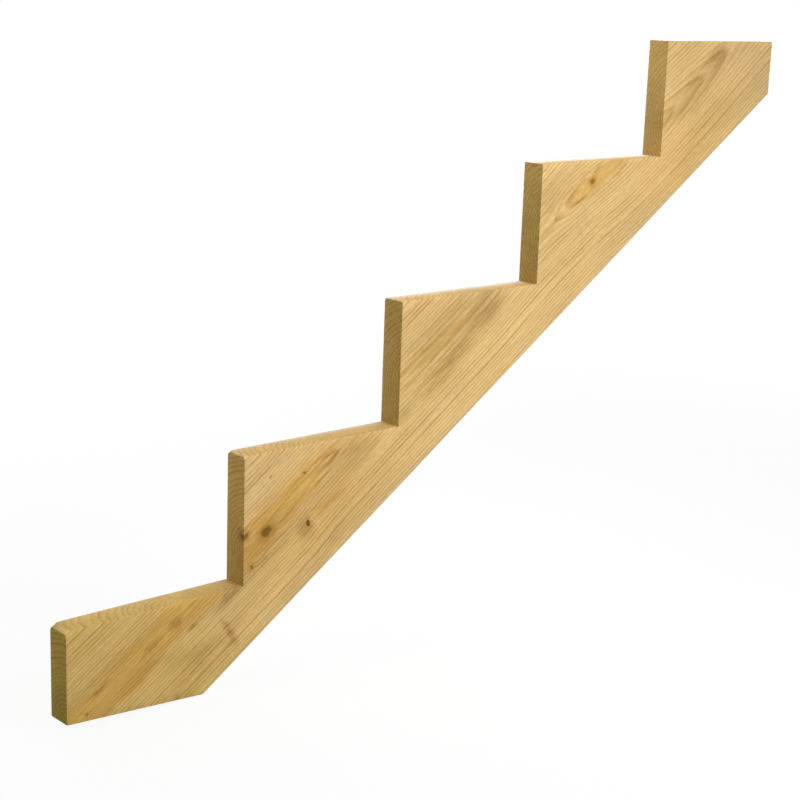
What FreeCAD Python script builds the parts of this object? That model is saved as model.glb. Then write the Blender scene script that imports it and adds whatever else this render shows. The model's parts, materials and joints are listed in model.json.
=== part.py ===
import FreeCAD, Part
import math
import os

# A cut stair stringer: one plank on edge with a saw-tooth of steps cut out of its upper side.
# X runs up the stair, Z is up and Y goes through the plank. The origin is the toe of the foot,
# where the lowest riser meets the ground, half way through the plank.

# Driving dimensions, in millimetres and degrees.
# The dressed plank, nominally 2 by 10 inches, with its four long edges eased.
PLANK_THICKNESS = 38.1
PLANK_WIDTH = 234.95
EASED_EDGE_RADIUS = 4.8

# The steps. The lowest riser is shorter than the others.
STEP_COUNT = 5
RISE = 184.15
RUN = 279.4
LOWEST_RISE = 127.0

# The end cuts. The top tread has a length of its own, and the foot falls towards its heel.
TOP_TREAD_LENGTH = 279.4
FOOT_FALL = 3.8

# The saw-tooth lies slightly askew on the plank. The lowest nose would stand proud of the upper
# edge, so the edge trims it, and the top nose lies inside the edge and comes out sharp.
LOWEST_NOSE_PROUD = 3.0
TOP_NOSE_INSIDE = 5.0

NODE = "stringer"


def nose(step):
    """Corner where the riser of a step meets its tread. Step 0 is the lowest."""
    return FreeCAD.Vector(step * RUN, 0, LOWEST_RISE + step * RISE)


def cut_outline():
    """Points that the saw follows: the toe, each nose and inner corner, then the two end cuts."""
    points = [FreeCAD.Vector(0, 0, 0)]
    for step in range(STEP_COUNT):
        is_top = step == STEP_COUNT - 1
        tread_length = TOP_TREAD_LENGTH if is_top else RUN
        points.append(nose(step))
        points.append(nose(step) + FreeCAD.Vector(tread_length, 0, 0))
    # The foot line and the plumb cut meet below the plank.
    top_end = points[-1].x
    points.append(FreeCAD.Vector(top_end, 0, -top_end * math.tan(math.radians(FOOT_FALL))))
    return points


def plank():
    """The plank before cutting: an eased rectangle, run up the slope of the stair."""
    lowest = nose(0)
    slope = nose(STEP_COUNT - 1) - lowest
    skew = math.asin((LOWEST_NOSE_PROUD + TOP_NOSE_INSIDE) / slope.Length)
    pitch = math.atan2(slope.z, slope.x) + skew
    along = FreeCAD.Vector(math.cos(pitch), 0, math.sin(pitch))
    across = FreeCAD.Vector(-math.sin(pitch), 0, math.cos(pitch))

    # Laid flat at first: X along the plank, Z across its width with the upper edge at zero.
    # It reaches past the foot at one end and past the plumb cut at the other.
    before_nose = LOWEST_RISE + PLANK_WIDTH
    after_nose = slope.Length + TOP_TREAD_LENGTH
    corner = FreeCAD.Vector(-before_nose, -PLANK_THICKNESS / 2, -PLANK_WIDTH)
    solid = Part.makeBox(before_nose + after_nose, PLANK_THICKNESS, PLANK_WIDTH, corner)
    long_edges = [edge for edge in solid.Edges if abs(edge.tangentAt(edge.FirstParameter).x) > 0.5]
    solid = solid.makeFillet(EASED_EDGE_RADIUS, long_edges)

    # Tipped up to the pitch, with its upper edge just below the lowest nose.
    upper_edge = lowest - across * LOWEST_NOSE_PROUD
    tip = FreeCAD.Rotation(along, FreeCAD.Vector(0, 1, 0), across, "XZY")
    solid.Placement = FreeCAD.Placement(upper_edge, tip)
    return solid


def stringer():
    """What is left of the plank inside the saw's outline."""
    points = cut_outline()
    outline = Part.Face(Part.makePolygon(points + points[:1]))
    outline.translate(FreeCAD.Vector(0, -PLANK_THICKNESS, 0))
    sawn = outline.extrude(FreeCAD.Vector(0, 2 * PLANK_THICKNESS, 0))
    return plank().common(sawn).removeSplitter().Solids[0]


os.makedirs("parts", exist_ok=True)
solid = stringer()
solid.exportStep(f"parts/{NODE}.step")
print(NODE, round(solid.Volume), "mm3")
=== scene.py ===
import json
import math

import bmesh
import bpy
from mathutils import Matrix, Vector


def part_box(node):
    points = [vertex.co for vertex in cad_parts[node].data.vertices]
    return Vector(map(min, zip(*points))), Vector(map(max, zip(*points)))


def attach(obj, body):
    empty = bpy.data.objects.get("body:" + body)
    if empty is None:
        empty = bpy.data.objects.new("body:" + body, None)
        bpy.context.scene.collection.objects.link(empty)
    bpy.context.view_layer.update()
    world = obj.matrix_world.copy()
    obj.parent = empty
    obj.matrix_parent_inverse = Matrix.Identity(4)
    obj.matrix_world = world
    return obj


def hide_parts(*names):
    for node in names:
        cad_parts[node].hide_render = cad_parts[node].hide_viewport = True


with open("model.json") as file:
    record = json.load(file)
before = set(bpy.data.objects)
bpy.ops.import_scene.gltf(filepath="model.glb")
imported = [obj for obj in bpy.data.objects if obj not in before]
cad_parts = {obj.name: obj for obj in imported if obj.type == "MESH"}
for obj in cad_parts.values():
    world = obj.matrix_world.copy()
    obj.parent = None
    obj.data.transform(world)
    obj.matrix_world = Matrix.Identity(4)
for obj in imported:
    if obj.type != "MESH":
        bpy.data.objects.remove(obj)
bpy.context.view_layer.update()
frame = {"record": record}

# A cut stair stringer of treated pine. X runs up the stair, Z is up and Y goes through the plank,
# with the front face on the low side. The frame gives the steps and the thickness. Lengths are in
# metres, or in millimetres where a comment says so.
MM = 1000.0
PLANK_WIDTH = 0.23495
EASED_EDGE = 0.0048
EASED_SEGMENTS = 8
# The saw-tooth lies slightly askew: the lowest nose stands proud of the plank's upper edge and the
# top nose lies inside it.
LOWEST_NOSE_PROUD = 0.003
TOP_NOSE_INSIDE = 0.005
# The saw leaves a fine broken edge on every corner that it cuts.
SAWN_ARRIS = 0.0006
ARRIS_SEGMENTS = 2
SHARP_CORNER = math.radians(30)
# Timber moves as it dries, so no face is dead flat. A grid of cuts lets the faces move.
UNEVENNESS = 0.0007
UNEVEN_LENGTH = 0.16
GRID = 0.016
SMOOTH_BELOW = math.radians(32)
# Points that lie closer than this are one point.
SAME_POINT = 0.00001

low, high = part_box("stringer")
mounts = {mount["name"]: mount for mount in frame["record"]["mounts"]}
step_count = sum(name.startswith("tread_") for name in mounts)
noses = [
    Vector((mounts[f"riser_{step}"]["pos_m"][0], 0, mounts[f"tread_{step}"]["pos_m"][2]))
    for step in range(1, step_count + 1)
]
end_cut = mounts["plumb_cut"]["pos_m"][0]
toe = Vector(mounts["foot"]["pos_m"])
foot_normal = Vector(mounts["foot"]["axis"])

thickness = high.y - low.y
slope = noses[-1] - noses[0]
skew = math.asin((LOWEST_NOSE_PROUD + TOP_NOSE_INSIDE) / slope.length)
pitch = math.atan2(slope.z, slope.x) + skew
along = Vector((math.cos(pitch), 0, math.sin(pitch)))
across = Vector((-math.sin(pitch), 0, math.cos(pitch)))
upper_edge = noses[0] - across * LOWEST_NOSE_PROUD


def linear(code):
    """An sRGB hex colour as the linear RGBA that Blender's sockets take."""
    parts = [int(code[i:i + 2], 16) / 255 for i in (1, 3, 5)]
    return [p / 12.92 if p <= 0.04045 else ((p + 0.055) / 1.055) ** 2.4 for p in parts] + [1.0]


def add(tree, kind, inputs=(), stops=(), **settings):
    """Adds one node with its settings. Inputs go to its sockets in order, or by name in a dict: a
    node is linked from its first output, a socket is linked, and anything else is a value. Stops
    are the points of a smooth curve, from 0 to 1."""
    made = tree.nodes.new(kind)
    for name, value in settings.items():
        setattr(made, name, value)
    for key, value in inputs.items() if isinstance(inputs, dict) else enumerate(inputs):
        if isinstance(value, bpy.types.Node):
            value = value.outputs[0]
        if isinstance(value, bpy.types.NodeSocket):
            tree.links.new(value, made.inputs[key])
        else:
            made.inputs[key].default_value = value
    if stops:
        points = made.mapping.curves[0].points
        while len(points) < len(stops):
            points.new(0.5, 0.5)
        for point, stop in zip(points, stops):
            point.location = stop
        made.mapping.update()
    return made


# The setting of a map-range node that eases in and out.
SMOOTH = {"interpolation_type": "SMOOTHSTEP"}

# The camera stands in front of the stair's foot and looks up along it.
CAMERA_PLACE = (-1.04829, -1.75294, 0.92586)
CAMERA_TURN = (76.3258, -1.9399, -42.3783)
CAMERA_LENS = 75.584
SENSOR = 36.0

bpy.ops.object.camera_add(location=CAMERA_PLACE, rotation=[math.radians(a) for a in CAMERA_TURN])
camera = bpy.context.object
camera.data.sensor_width = SENSOR
camera.data.lens = CAMERA_LENS
bpy.context.scene.camera = camera

# Soft studio light: a softbox with a grid in front of the middle steps, two at the left that reach
# the upper and the lower risers, one above the top steps, a low one behind for the back face, and
# the room. Each row: where the lamp stands, what it is aimed at, its size, its watts and its spread
# in degrees.
ROOM_LIGHT = 0.56
LAMPS = (
    ((1.05, -1.85, 1.15), (0.63, 0.0, 0.41), 1.2, 6.25, 75),
    ((-1.2, -0.6, 1.2), (1.12, 0.0, 0.95), 0.5, 0.21, 20),
    ((-1.6, -0.3, 0.3), (0.28, 0.0, 0.28), 0.5, 0.075, 20),
    ((0.9, 0.1, 1.9), (0.9, 0.0, 0.5), 0.7, 1.0, 70),
    ((0.9, 2.4, 0.5), (0.7, 0.0, 0.4), 1.4, 26, 180),
)

for place, target, size, watts, spread in LAMPS:
    aim = Vector(target) - Vector(place)
    turn = aim.to_track_quat("-Z", "Y").to_euler()
    bpy.ops.object.light_add(type="AREA", location=place, rotation=turn)
    lamp = bpy.context.object.data
    lamp.size = size
    lamp.energy = watts
    lamp.spread = math.radians(spread)

# The room is white, and the floor is plain and white. The camera sees the floor almost as white
# light, so only a faint shadow shows on it, and it fades into the room away from the stringer. It
# throws little light back on to the timber.
WHITE = "#FFFFFF"
FLOOR_SIZE = 30.0
FLOOR_WHITE = 0.91
FLOOR_BOUNCE = "#8C8C8C"
FADE_START = 0.9
FADE_END = 2.2

scene = bpy.context.scene
scene.view_settings.view_transform = "Standard"
scene.world = bpy.data.worlds.new("studio_room")
paint = bpy.data.materials.new("white_floor_paint")
seen = []
for surface in (scene.world, paint):
    surface.use_nodes = True
    tree = surface.node_tree
    tree.nodes.clear()
    ray = add(tree, "ShaderNodeLightPath")
    looks = [ray.outputs[f"Is {kind} Ray"] for kind in ("Camera", "Glossy", "Transmission")]
    either = add(tree, "ShaderNodeMath", looks[:2], operation="ADD")
    seen.append(add(tree, "ShaderNodeMath", (either, looks[2]), operation="ADD", use_clamp=True))

tree = scene.world.node_tree
level = add(tree, "ShaderNodeMapRange", (seen[0], 0.0, 1.0, ROOM_LIGHT, 1.0))
white = add(tree, "ShaderNodeBackground", {"Color": linear(WHITE), "Strength": level})
add(tree, "ShaderNodeOutputWorld", {"Surface": white})

floor_middle = (end_cut / 2, 0, low.z)
tree = paint.node_tree
spot = add(tree, "ShaderNodeTexCoord").outputs["Object"]
away = add(tree, "ShaderNodeVectorMath", (spot, floor_middle), operation="DISTANCE")
away = away.outputs["Value"]
fade = add(tree, "ShaderNodeMapRange", (away, FADE_START, FADE_END, FLOOR_WHITE), **SMOOTH)
shade = add(tree, "ShaderNodeBsdfDiffuse", {"Color": linear(WHITE)})
glow = add(tree, "ShaderNodeEmission", {"Color": linear(WHITE), "Strength": 1.0})
shown = add(tree, "ShaderNodeMixShader", (fade, shade, glow))
bounce = add(tree, "ShaderNodeBsdfDiffuse", {"Color": linear(FLOOR_BOUNCE)})
both = add(tree, "ShaderNodeMixShader", (seen[1], bounce, shown))
add(tree, "ShaderNodeOutputMaterial", {"Surface": both})

bpy.ops.object.select_all(action="DESELECT")
bpy.ops.mesh.primitive_plane_add(size=FLOOR_SIZE, location=floor_middle)
floor = bpy.context.object
floor.name = "floor"
bpy.ops.object.transform_apply(location=True, rotation=True, scale=True)
floor.data.materials.append(paint)


def eased_plank():
    """The dressed plank before the saw: a block with rounded long edges, tipped to the stair's
    pitch."""
    before_nose = noses[0].z + PLANK_WIDTH
    length = before_nose + slope.length + (end_cut - noses[-1].x)
    bpy.ops.object.select_all(action="DESELECT")
    bpy.ops.mesh.primitive_cube_add(size=1, enter_editmode=True)
    bpy.ops.transform.resize(value=(length, thickness, PLANK_WIDTH))
    bpy.ops.transform.translate(value=(length / 2 - before_nose, 0, -PLANK_WIDTH / 2))
    piece = bpy.context.object
    mesh = bmesh.from_edit_mesh(piece.data)
    for edge in mesh.edges:
        edge.select_set(abs((edge.verts[0].co - edge.verts[1].co).x) > length / 2)
    bmesh.update_edit_mesh(piece.data)
    bpy.ops.mesh.bevel(
        offset=EASED_EDGE, offset_type="OFFSET", segments=EASED_SEGMENTS, profile=0.5,
        affect="EDGES",
    )
    bpy.ops.object.mode_set(mode="OBJECT")
    piece.rotation_euler = (0, -pitch, 0)
    piece.location = upper_edge
    bpy.ops.object.transform_apply(location=True, rotation=True, scale=True)
    return piece


def saw_outline():
    """A block with the saw's outline: up each riser, along each tread, down the end and back by the
    foot."""
    stops = []
    for step, corner in enumerate(noses):
        tread_end = end_cut if step + 1 == step_count else noses[step + 1].x
        stops += [corner, Vector((tread_end, 0, corner.z))]
    foot_drop = -end_cut * foot_normal.x / foot_normal.z
    stops += [Vector((end_cut, 0, toe.z + foot_drop)), toe]
    bpy.ops.object.select_all(action="DESELECT")
    bpy.ops.mesh.primitive_plane_add(size=0.1, location=(0, 0, 0), enter_editmode=True)
    bpy.ops.mesh.merge(type="CENTER")
    bpy.ops.transform.translate(value=toe - Vector((0, thickness, 0)))
    here = toe
    for stop in stops:
        bpy.ops.mesh.extrude_region_move(TRANSFORM_OT_translate={"value": stop - here})
        here = stop
    bpy.ops.mesh.select_all(action="SELECT")
    bpy.ops.mesh.remove_doubles(threshold=SAME_POINT)
    bpy.ops.mesh.edge_face_add()
    bpy.ops.mesh.extrude_region_move(TRANSFORM_OT_translate={"value": (0, 2 * thickness, 0)})
    bpy.ops.mesh.select_all(action="SELECT")
    bpy.ops.mesh.normals_make_consistent(inside=False)
    bpy.ops.object.mode_set(mode="OBJECT")
    return bpy.context.object


def cut_stringer():
    """The stringer: the plank inside the saw's outline, with broken sawn edges and faces that are
    not dead flat."""
    piece = eased_plank()
    saw = saw_outline()
    bpy.ops.object.select_all(action="DESELECT")
    piece.select_set(True)
    bpy.context.view_layer.objects.active = piece
    cut = piece.modifiers.new("saw_cut", "BOOLEAN")
    cut.operation = "INTERSECT"
    cut.solver = "EXACT"
    cut.object = saw
    bpy.ops.object.modifier_apply(modifier=cut.name)
    bpy.data.objects.remove(saw)

    # The sawn corners are those with a sharp angle. The inner corners of the steps stay as cut.
    bpy.ops.object.mode_set(mode="EDIT")
    bpy.ops.mesh.select_mode(type="EDGE")
    bpy.ops.mesh.select_all(action="SELECT")
    bpy.ops.mesh.remove_doubles(threshold=SAME_POINT)
    mesh = bmesh.from_edit_mesh(piece.data)
    for edge in mesh.edges:
        edge.select_set(edge.is_convex and edge.calc_face_angle(0) > SHARP_CORNER)
    bmesh.update_edit_mesh(piece.data)
    bpy.ops.mesh.bevel(
        offset=SAWN_ARRIS, offset_type="OFFSET", segments=ARRIS_SEGMENTS, profile=0.5,
        affect="EDGES", clamp_overlap=True,
    )

    # The grid of cuts runs along and across the plank, and past both its ends.
    past_end = 2 * PLANK_WIDTH
    cuts = [
        (along, along * (number * GRID - past_end))
        for number in range(int((slope.length + 2 * past_end) / GRID))
    ]
    cuts += [
        (across, -across * (number * GRID)) for number in range(1, int(PLANK_WIDTH / GRID) + 1)
    ]
    for normal, offset in cuts:
        bpy.ops.mesh.select_all(action="SELECT")
        bpy.ops.mesh.bisect(plane_co=upper_edge + offset, plane_no=normal)
    bpy.ops.object.mode_set(mode="OBJECT")

    swell = bpy.data.textures.new("seasoning", "CLOUDS")
    swell.noise_scale = UNEVEN_LENGTH
    move = piece.modifiers.new("seasoning", "DISPLACE")
    move.texture = swell
    move.texture_coords = "LOCAL"
    move.strength = UNEVENNESS
    bpy.ops.object.modifier_apply(modifier=move.name)
    bpy.data.textures.remove(swell)
    bpy.ops.object.shade_smooth_by_angle(angle=SMOOTH_BELOW)
    piece.name = "stringer_timber"
    piece.data.name = "stringer_timber"
    return piece


# The wood. The heart of the log wanders through the plank. Each row: distance along the plank from
# the lowest nose, depth of the pith behind the front face (below zero it lies in front), its
# distance below the upper edge and the radius of the brown heartwood, all in mm, then how deep the
# brown is.
PITH = (
    (-200, 4, 109, 27, 0.65),
    (-45, 1, 109, 27, 0.65),
    (120, -4, 110.5, 26, 0.70),
    (230, -8.5, 111, 29, 0.75),
    (285, -10.5, 111.3, 29, 0.75),
    (345, -11.5, 110.8, 27, 0.72),
    (364, -11.9, 109, 25.5, 0.70),
    (380, -12.2, 107, 24, 0.70),
    (415, -13.3, 104.8, 20.5, 0.76),
    (446, -14.5, 103.8, 16.5, 0.80),
    (470, -16.3, 103.8, 14.5, 0.60),
    (500, -18.6, 103.8, 12, 0.30),
    (560, -20.5, 103.5, 19, 0.60),
    (610, -22, 103, 24.5, 0.70),
    (650, -22.5, 102.2, 25.8, 0.68),
    (700, -23, 101.3, 26.2, 0.66),
    (760, -23.7, 100.2, 25, 0.60),
    (800, -24.2, 99.2, 20, 0.30),
    (850, -25.5, 97.3, 18, 0.30),
    (900, -27, 95.4, 18, 0.30),
    (950, -28, 94.4, 18, 0.30),
    (990, -25, 93.7, 18, 0.50),
    (1010, -21.5, 92.8, 18, 0.85),
    (1026, -18.6, 92.3, 18.8, 0.85),
    (1050, -17, 93, 21, 0.85),
    (1080, -16, 95.2, 22.5, 0.75),
    (1110, -16.5, 98.5, 22.5, 0.70),
    (1142, -18.5, 101.5, 23, 0.70),
    (1180, -24, 104.5, 24, 0.50),
    (1236, -31, 106.5, 38, 0.20),
    (1290, -35.5, 107.5, 43, 0.15),
    (1350, -39.2, 106.5, 47, 0.15),
    (1400, -42.4, 105.5, 49, 0.15),
    (1450, -46.2, 104.5, 50, 0.15),
    (1500, -49.6, 104, 36, 0.15),
    (1640, -55, 104, 36, 0.15),
)
PITH_START = -200.0
PITH_END = 1700.0
# Lowest and highest value that each of the four columns can take.
PITH_RANGES = ((-70.0, 30.0), (60.0, 130.0), (0.0, 60.0), (0.0, 1.0))

# The growth rings: radius of each dark latewood line in mm and how dark it is. Good and bad summers
# make them uneven.
RINGS = (
    (5.5, 0.40), (10.5, 0.40), (15.5, 0.50), (20.5, 0.45), (25.5, 0.50), (30.5, 0.55),
    (36.0, 0.60), (41.3, 0.70), (46.6, 0.65), (50.5, 0.45), (55.5, 0.60), (60.5, 0.60),
    (64.7, 0.45), (70.4, 0.85), (76.1, 0.70), (82.3, 0.95), (88.1, 0.35), (97.3, 0.90),
    (103.1, 0.60), (108.5, 0.70), (113.4, 0.65), (119.2, 0.65), (125.0, 0.60), (131.0, 0.65),
    (137.0, 0.60), (142.5, 0.90), (149.0, 0.70), (155.5, 0.80), (161.0, 0.60), (167.5, 0.80),
    (173.5, 0.70),
)
RING_REACH = 180.0
# Within a ring the pale earlywood darkens slowly into latewood and stops short: how far through the
# ring, and how dark.
LATE_PEAK = 0.88
RING_PROFILE = ((0.0, 0.25), (0.08, 0.0), (0.30, 0.06), (0.62, 0.38), (LATE_PEAK, 1.0), (1.0, 0.25))

# Knots: along, below the edge, half length along the grain, half width across it, depth that they
# go in, in mm, and how many rings swing round them, then the core and halo colours and the halo's
# strength.
KNOTS = (
    (-43, 113, 2.4, 2.4, 30, 0.4, "#A67F2A", "#B9904E", 0.50),
    (257.5, 139.5, 3.4, 3.2, 30, 0.6, "#865E0A", "#B2863C", 0.60),
    (273, 94, 6.0, 4.4, 8, 0.6, "#846324", "#9A773A", 0.60),
    (304, 115, 9.0, 7.0, 55, 0.6, "#714E08", "#A1762E", 0.65),
    (352.5, 53, 1.8, 1.6, 20, 0.3, "#A6853C", "#C09A58", 0.40),
    (365, 158, 3.6, 6.5, 45, 0.4, "#462A00", "#B48C46", 0.60),
    (400, 90, 3.0, 2.4, 30, 0.4, "#966B14", "#BE9346", 0.50),
    (1082.5, 93, 5.5, 4.2, 50, 0.7, "#8C5F0C", "#BF8838", 0.70),
)

# Stains of the treatment and of handling on the front face: along, below the edge, half length and
# half width, in mm, then the tint that the wood is multiplied by and its strength.
STAINS = (
    (-10, 100, 14, 3, "#A07F4C", 0.55),
    (35, 138, 45, 8, "#EBD9B0", 0.60),
    (65, 203, 12, 3, "#A58752", 0.45),
    (81, 111, 16, 3, "#A98A55", 0.50),
    (92, 155, 22, 11, "#BDB896", 0.36),
    (95, 197, 80, 26, "#E9E5D8", 0.80),
    (124, 113, 10, 7, "#A99262", 0.60),
    (127, 172, 24, 12, "#BDB896", 0.40),
    (139, 137, 8, 3, "#A58752", 0.50),
    (171, 203, 9, 3, "#9C7F52", 0.55),
    (180, 190, 5, 20, "#B08F5E", 0.60),
    (206, 147, 22, 8, "#A9A585", 0.60),
    (290, 148, 75, 7, "#C9C2A2", 0.50),
    (322, 120, 70, 20, "#DED8C0", 0.75),
    (357, 162, 13, 15, "#A7A284", 0.60),
    (380, 85, 100, 11, "#FAEEC2", 0.60),
    (390, 172, 130, 40, "#F6EDC6", 0.60),
    (412, 160, 32, 9, "#E6CF9C", 0.60),
    (478, 122, 55, 26, "#CBBF9E", 0.65),
    (586, 148, 14, 9, "#B9B196", 0.50),
    (672, 144, 55, 15, "#C4B58C", 0.70),
    (680, 82, 150, 42, "#E2E0DA", 0.80),
    (740, 134, 60, 15, "#CABC95", 0.55),
    (802, 118, 36, 19, "#BDB188", 0.62),
    (965, 98, 32, 6, "#CDB68C", 0.55),
    (1000, 62, 60, 28, "#E6E2DA", 0.80),
    (1101, 83, 12, 4, "#B0906A", 0.60),
    (1310, 185, 130, 45, "#FBF0D0", 0.60),
    (1340, 118, 60, 16, "#CFC8B0", 0.40),
    (1380, 96, 55, 14, "#CFC8B0", 0.35),
    (1432, 98, 26, 15, "#AE9A74", 0.60),
)
STAIN_DEPTH = 8.0

# Noises over the plank: the size of their features along, through and across it, in mm, and their
# detail. Fibres are really a few hundredths of a millimetre wide, and are drawn as coarse as the
# picture can show.
NOISES = {
    "drift": ((420, 120, 170), 1.0),
    "waver": ((60, 26, 22), 2.0),
    "ragged": ((7, 7, 6), 3.0),
    "fade": ((90, 18, 8), 1.0),
    "fibre": ((60, 2.4, 2.4), 2.0),
    "grit": ((9, 4, 2.2), 2.0),
    "fleck": ((24, 9, 2.6), 1.0),
    "cloud": ((170, 60, 34), 2.0),
    "streak": ((45, 14, 5), 2.0),
    "pore": ((1.6, 1.6, 1.6), 1.0),
}
# How far a knot's or a stain's edge is ragged, in mm.
RAGGEDNESS = 9.0

# The ranges from here on belong to map-range nodes: the two ends that a value comes from and,
# unless they are 0 and 1, the two that it goes to. Where a range has three numbers, the last end
# varies.
# How far the slow and the quick noise bend the rings, in mm.
SLOW_BEND = (0.0, 1.0, -2.0, 2.0)
QUICK_BEND = (0.0, 1.0, -1.2, 1.2)
# A knot's core, its paler middle, its halo and the rings that swing round it, in times its own
# size.
KNOT_CORE = (1.25, 0.55)
KNOT_MIDDLE = (0.0, 0.8, 0.7, 1.0)
KNOT_HALO = (2.6, 0.8)
KNOT_SWING = (4.5, 0.4, 0.0)
# The square of how directly a face looks along the grain, from planed to sawn.
SAWN = (0.08, 0.22)
# The latewood lines come and go. On the top step, distances along in mm, they are fainter, and
# broader where the face lies flat to the rings. The saw's fuzz evens them out and hides much of
# them, less so the more squarely it crossed the grain.
LINE_FADE = (0.3, 0.6, 0.5)
TOP_STEP = (1180.0, 1320.0)
TOP_STEP_FAINT = (0.0, 1.0, 1.0, 0.82)
LIES_FLAT = (0.90, 0.98)
FLAT_POWER = (0.0, 1.0, 1.0, 0.65)
SAWN_EVEN = (0.0, 1.4)
SAWN_DARKNESS = 0.62
SAWN_FUZZ = (0.0, 1.0, 1.0, 0.58)
SQUARE_CUT = 0.48
EARLYWOOD = "#E3C285"
LATEWOOD = "#B47C18"
# Streaks of fibre, grit and slow clouds of tone: each spread about 1.
TONES = (("fibre", 0.85, 1.15), ("grit", 0.88, 1.12), ("cloud", 0.88, 1.12))
TONE_NOISE = (0.2, 0.8)
# The heart is warmer and browner than the sapwood round it, with a vague edge, in mm, and a darker
# rim where it is deepest. Little of it shows on the sawn faces.
HEART_BLUR = (0.0, 1.0, -16.0, 16.0)
HEART_EDGE = (-7.0, 8.0)
HEART_TINT = "#ECD89E"
RIM_EDGE = (2.8, 0.4)
RIM_DEEPEST = (0.7, 0.95)
RIM_TINT = "#E8D2A6"
HEART_PLANED = (0.0, 1.0, 1.0, 0.25)
# Short dark flecks in the latewood.
FLECKS = (0.62, 0.76)
FLECK_TINT = "#C9AE85"
# More of the treatment was taken up near the foot. The foot's sawn end is tinted darker and greener
# still. Distances along in mm.
FOOT_PART = (330.0, 30.0)
FOOT_TINT = "#FCFCE6"
FOOT_END = (40.0, 5.0)
FOOT_END_TINT = "#CEDCBE"
# Stains are smeared along the grain, and fade outwards, in times their own size.
SMEAR = (0.32, 0.62, 0.5, 1.0)
STAIN_EDGE = (1.8, 0.2, 0.0)
# The end grain drinks more of the treatment, least on the top step. Painted shade darkens the sawn
# faces towards the inner corners of the steps, where riser meets tread, the risers most. Distances
# along and across in mm.
END_DRINKS = (1100.0, 1230.0, 1.0, 0.7)
END_TINT = "#E6E4B6"
TOWARDS_INNER_CORNER = (-40.0, -150.0)
CORNER_SHADE_TINT = "#DAD9D2"
SAWN_TINT = "#FBF7EC"
# Bare dry timber has little gloss. Latewood and fibres stand up on the faces, and pores on sawn
# ends.
ROUGHNESS = (0.0, 1.0, 0.50, 0.80)
TIMBER_IOR = 1.5
LITTLE_GLOSS = 0.2
SHEEN_ROUGHNESS = 0.165
LATE_RIDGE = 0.5
FIBRE_RIDGE = 0.6
RIDGE_HEIGHT = 0.0003
RIDGE_STRENGTH = 0.5


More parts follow.
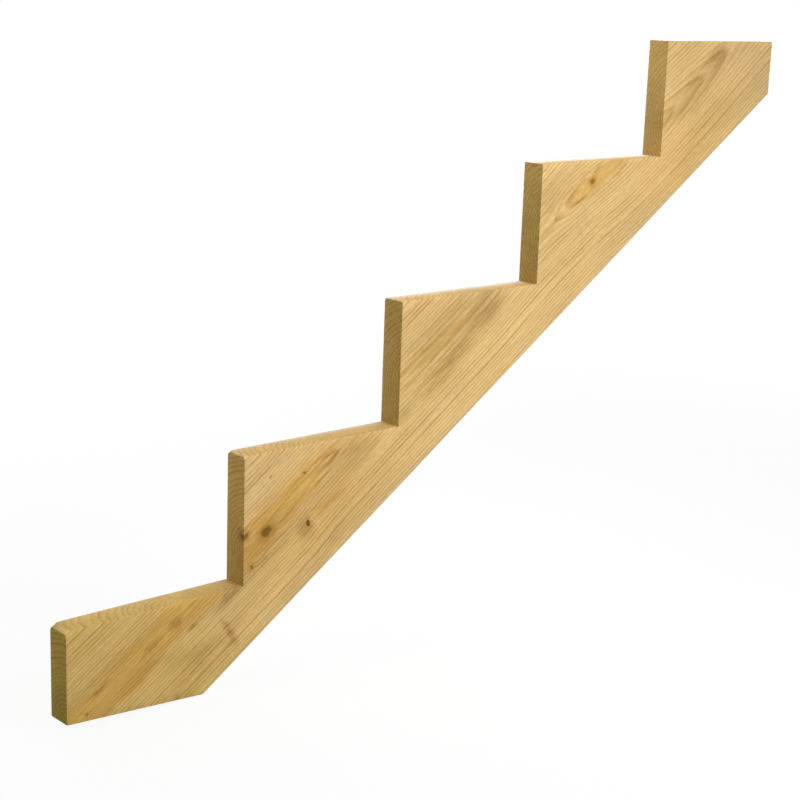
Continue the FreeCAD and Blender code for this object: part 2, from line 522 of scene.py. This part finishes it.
def treated_pine():
    """Dressed southern pine, pressure treated and dried: the planer leaves a matt, faintly silky
    face with broad dark latewood lines, the treatment gives a green-gold cast and grey-green
    smudges, and the sawn ends drink more of it, so they are darker and duller. Fibre ends stand up
    on the sawn faces, and look pale along the face."""
    material = bpy.data.materials.new("treated_pine")
    material.use_nodes = True
    tree = material.node_tree
    tree.nodes.clear()
    coords = add(tree, "ShaderNodeTexCoord")

    # Plank coordinates in mm: X along the grain from the lowest nose, Y through the plank, and Z
    # across it, falling from zero at the upper edge.
    plank = add(tree, "ShaderNodeMapping", {
        "Vector": coords.outputs["Object"],
        "Location": Vector((-upper_edge.dot(along), 0.0, -upper_edge.dot(across))) * MM,
        "Rotation": (0, pitch, 0),
        "Scale": (MM, MM, MM),
    }, vector_type="POINT")
    place = add(tree, "ShaderNodeSeparateXYZ", (plank,))
    noises = {}
    for name, (size, detail) in NOISES.items():
        spread = add(tree, "ShaderNodeMapping", {"Vector": plank, "Scale": [1 / s for s in size]})
        noises[name] = add(
            tree, "ShaderNodeTexNoise", {"Vector": spread, "Scale": 1.0, "Detail": detail}
        )

    # Distance from the wandering pith, bent by the noises.
    far = add(tree, "ShaderNodeMapRange", (place.outputs["X"], PITH_START, PITH_END))
    log = []
    log_length = PITH_END - PITH_START
    for column, (least, most) in enumerate(PITH_RANGES, start=1):
        stops = [
            ((row[0] - PITH_START) / log_length, (row[column] - least) / (most - least))
            for row in PITH
        ]
        stops.append((1.0, stops[-1][1]))
        line = add(tree, "ShaderNodeFloatCurve", {"Value": far}, stops)
        log.append(add(tree, "ShaderNodeMapRange", (line, 0.0, 1.0, least, most)))
    pith_depth, pith_drop, heart_radius, heart_tone = log
    front = -thickness * MM / 2
    depth = add(tree, "ShaderNodeMath", (place.outputs["Y"], front), operation="SUBTRACT")
    through = add(tree, "ShaderNodeMath", (depth, pith_depth), operation="SUBTRACT")
    below = add(tree, "ShaderNodeMath", (place.outputs["Z"], pith_drop), operation="ADD")
    for name, bend in (("drift", SLOW_BEND), ("waver", QUICK_BEND)):
        bent = add(tree, "ShaderNodeMapRange", (noises[name], *bend))
        below = add(tree, "ShaderNodeMath", (below, bent), operation="ADD")
    offset = add(tree, "ShaderNodeCombineXYZ", (below, through))
    radius = add(tree, "ShaderNodeVectorMath", (offset,), operation="LENGTH").outputs["Value"]

    # The count of rings out from the pith, and how dark the nearest latewood line is.
    share = add(tree, "ShaderNodeMath", (radius, 1 / RING_REACH), operation="MULTIPLY")
    years = len(RINGS) + 1
    counts = [(r / RING_REACH, (year + LATE_PEAK) / years) for year, (r, _) in enumerate(RINGS)]
    counts = [(0.0, 0.0)] + counts + [(1.0, 1.0)]
    count = add(tree, "ShaderNodeFloatCurve", {"Value": share}, counts)
    count = add(tree, "ShaderNodeMath", (count, years), operation="MULTIPLY")
    darks = [(r / RING_REACH, dark) for r, dark in RINGS]
    darks = [(0.0, darks[0][1])] + darks + [(1.0, darks[-1][1])]
    darkness = add(tree, "ShaderNodeFloatCurve", {"Value": share}, darks)

    # Each knot is a branch that tapers into the plank. Its reach is a ragged ellipse, darkest
    # towards its bark, and rings swing round it.
    jitter = add(tree, "ShaderNodeVectorMath", {
        0: noises["ragged"].outputs["Color"], 1: (0.5, 0.5, 0.5),
    }, operation="SUBTRACT")
    jitter = add(tree, "ShaderNodeVectorMath", {0: jitter, "Scale": RAGGEDNESS}, operation="SCALE")
    rough_place = add(tree, "ShaderNodeVectorMath", (plank, jitter), operation="ADD")
    knot_layers = []
    for u, v, half_long, half_wide, deep, swing, core_colour, halo_colour, halo_amount in KNOTS:
        branch = add(tree, "ShaderNodeMapping", {
            "Vector": rough_place, "Location": (u, front, -v),
            "Scale": (half_long, deep, half_wide),
        }, vector_type="TEXTURE")
        reach = add(tree, "ShaderNodeVectorMath", (branch,), operation="LENGTH").outputs["Value"]
        core = add(tree, "ShaderNodeMapRange", (reach, *KNOT_CORE), **SMOOTH)
        middle = add(tree, "ShaderNodeMapRange", (reach, *KNOT_MIDDLE))
        core = add(tree, "ShaderNodeMath", (core, middle), operation="MULTIPLY")
        halo = add(tree, "ShaderNodeMapRange", (reach, *KNOT_HALO), **SMOOTH)
        halo = add(tree, "ShaderNodeMath", (halo, halo_amount), operation="MULTIPLY")
        knot_layers += [(halo, halo_colour, "MIX"), (core, core_colour, "MIX")]
        push = add(tree, "ShaderNodeMapRange", (reach, *KNOT_SWING, swing), **SMOOTH)
        count = add(tree, "ShaderNodeMath", (count, push), operation="ADD")

    # Sawn faces: how squarely the saw crossed the grain.
    facing = add(tree, "ShaderNodeVectorMath", {
        0: coords.outputs["Normal"], 1: along,
    }, operation="DOT_PRODUCT").outputs["Value"]
    end_grain = add(tree, "ShaderNodeMath", (facing, facing), operation="MULTIPLY")
    sawn = add(tree, "ShaderNodeMapRange", (end_grain, *SAWN), **SMOOTH)

    # The latewood lines.
    within = add(tree, "ShaderNodeMath", (count,), operation="FRACT")
    profile = add(tree, "ShaderNodeValToRGB", (within,))
    profile.color_ramp.interpolation = "EASE"
    for spot, _ in RING_PROFILE[1:-1]:
        profile.color_ramp.elements.new(spot)
    for stop, (_, grey) in zip(profile.color_ramp.elements, RING_PROFILE):
        stop.color = (grey, grey, grey, 1.0)
    near_top = add(tree, "ShaderNodeMapRange", (place.outputs["X"], *TOP_STEP))
    flat = add(tree, "ShaderNodeMath", (through, radius), operation="DIVIDE")
    flat = add(tree, "ShaderNodeMath", (flat,), operation="ABSOLUTE")
    flat = add(tree, "ShaderNodeMapRange", (flat, *LIES_FLAT))
    flat = add(tree, "ShaderNodeMath", (near_top, flat), operation="MULTIPLY")
    broad = add(tree, "ShaderNodeMapRange", (flat, *FLAT_POWER))
    late = add(tree, "ShaderNodeMath", (profile, broad), operation="POWER")
    even = add(tree, "ShaderNodeMapRange", (sawn, *SAWN_EVEN, darkness, SAWN_DARKNESS))
    boldest = add(tree, "ShaderNodeMapRange", (near_top, *TOP_STEP_FAINT))
    faded = add(tree, "ShaderNodeMapRange", (noises["fade"], *LINE_FADE, boldest))
    fuzzed = add(tree, "ShaderNodeMapRange", (sawn, *SAWN_FUZZ))
    fuzzed = add(tree, "ShaderNodeMath", (end_grain, SQUARE_CUT, fuzzed), operation="MULTIPLY_ADD")
    for strength in (even, faded, fuzzed):
        late = add(tree, "ShaderNodeMath", (late, strength), operation="MULTIPLY")
    colour = add(tree, "ShaderNodeMix", {
        0: late, 6: linear(EARLYWOOD), 7: linear(LATEWOOD),
    }, data_type="RGBA").outputs[2]
    for name, least, most in TONES:
        tone = add(tree, "ShaderNodeMapRange", (noises[name], *TONE_NOISE, least, most))
        colour = add(tree, "ShaderNodeVectorMath", {0: colour, "Scale": tone}, operation="SCALE")

    # Layers over the bare lines, each with its mask, its colour and how it is laid on: the heart
    # first.
    inside = add(tree, "ShaderNodeMath", (heart_radius, radius), operation="SUBTRACT")
    blur = add(tree, "ShaderNodeMapRange", (noises["streak"], *HEART_BLUR))
    vague = add(tree, "ShaderNodeMath", (inside, blur), operation="ADD")
    heart = add(tree, "ShaderNodeMapRange", (vague, *HEART_EDGE), **SMOOTH)
    heart = add(tree, "ShaderNodeMath", (heart, heart_tone), operation="MULTIPLY")
    rim = add(tree, "ShaderNodeMath", (inside,), operation="ABSOLUTE")
    rim = add(tree, "ShaderNodeMapRange", (rim, *RIM_EDGE), **SMOOTH)
    deepest = add(tree, "ShaderNodeMapRange", (heart_tone, *RIM_DEEPEST))
    rim = add(tree, "ShaderNodeMath", (rim, deepest), operation="MULTIPLY")
    planed = add(tree, "ShaderNodeMapRange", (sawn, *HEART_PLANED))
    layers = []
    for mask, tint in ((heart, HEART_TINT), (rim, RIM_TINT)):
        mask = add(tree, "ShaderNodeMath", (mask, planed), operation="MULTIPLY")
        layers.append((mask, tint, "MULTIPLY"))

    fleck = add(tree, "ShaderNodeMapRange", (noises["fleck"], *FLECKS), **SMOOTH)
    fleck = add(tree, "ShaderNodeMath", (fleck, late), operation="MULTIPLY")
    foot = add(tree, "ShaderNodeMapRange", (place.outputs["X"], *FOOT_PART), **SMOOTH)
    foot_end = add(tree, "ShaderNodeMapRange", (place.outputs["X"], *FOOT_END), **SMOOTH)
    foot_end = add(tree, "ShaderNodeMath", (foot_end, end_grain), operation="MULTIPLY")
    layers += [
        (fleck, FLECK_TINT, "MULTIPLY"),
        (foot, FOOT_TINT, "MULTIPLY"),
        (foot_end, FOOT_END_TINT, "MULTIPLY"),
    ]

    # Stains lie in the skin of the front face.
    smeared = add(tree, "ShaderNodeMapRange", (noises["streak"], *SMEAR))
    for u, v, half_long, half_wide, tint, amount in STAINS:
        patch = add(tree, "ShaderNodeMapping", {
            "Vector": rough_place, "Location": (u, front, -v),
            "Scale": (half_long, STAIN_DEPTH, half_wide),
        }, vector_type="TEXTURE")
        reach = add(tree, "ShaderNodeVectorMath", (patch,), operation="LENGTH").outputs["Value"]
        mask = add(tree, "ShaderNodeMapRange", (reach, *STAIN_EDGE, amount), **SMOOTH)
        mask = add(tree, "ShaderNodeMath", (mask, smeared), operation="MULTIPLY")
        layers.append((mask, tint, "MULTIPLY"))
    layers += knot_layers

    # The end grain, and painted shade towards the inner corners of the steps.
    drunk = add(tree, "ShaderNodeMapRange", (place.outputs["X"], *END_DRINKS))
    drunk = add(tree, "ShaderNodeMath", (drunk, end_grain), operation="MULTIPLY")
    # Painted shade: the sawn faces darken towards the inner corners, where riser meets tread.
    corner_shade = add(tree, "ShaderNodeMapRange", (place.outputs["Z"], *TOWARDS_INNER_CORNER))
    corner_shade = add(tree, "ShaderNodeMath", (corner_shade, end_grain), operation="MULTIPLY")
    layers += [
        (drunk, END_TINT, "MULTIPLY"),
        (corner_shade, CORNER_SHADE_TINT, "MULTIPLY"),
        (sawn, SAWN_TINT, "MULTIPLY"),
    ]
    for mask, tint, blend in layers:
        colour = add(tree, "ShaderNodeMix", {
            0: mask, 6: colour, 7: linear(tint),
        }, data_type="RGBA", blend_type=blend).outputs[2]

    roughness = add(tree, "ShaderNodeMapRange", (sawn, *ROUGHNESS))
    ridge = add(tree, "ShaderNodeMath", (late, LATE_RIDGE), operation="MULTIPLY")
    ridge = add(
        tree, "ShaderNodeMath", (noises["fibre"], FIBRE_RIDGE, ridge), operation="MULTIPLY_ADD"
    )
    fuzz = add(tree, "ShaderNodeMath", (noises["pore"], end_grain), operation="MULTIPLY")
    ridge = add(tree, "ShaderNodeMath", (ridge, fuzz), operation="ADD")
    bump = add(tree, "ShaderNodeBump", {
        "Strength": RIDGE_STRENGTH, "Distance": RIDGE_HEIGHT, "Height": ridge,
    })
    skin = add(tree, "ShaderNodeBsdfPrincipled", {
        "Base Color": colour, "Roughness": roughness, "IOR": TIMBER_IOR,
        "Specular IOR Level": LITTLE_GLOSS, "Normal": bump,
        "Sheen Weight": sawn, "Sheen Roughness": SHEEN_ROUGHNESS,
    })
    add(tree, "ShaderNodeOutputMaterial", {"Surface": skin})
    return material


stringer = cut_stringer()
stringer.data.materials.append(treated_pine())
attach(stringer, "root")
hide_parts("stringer")
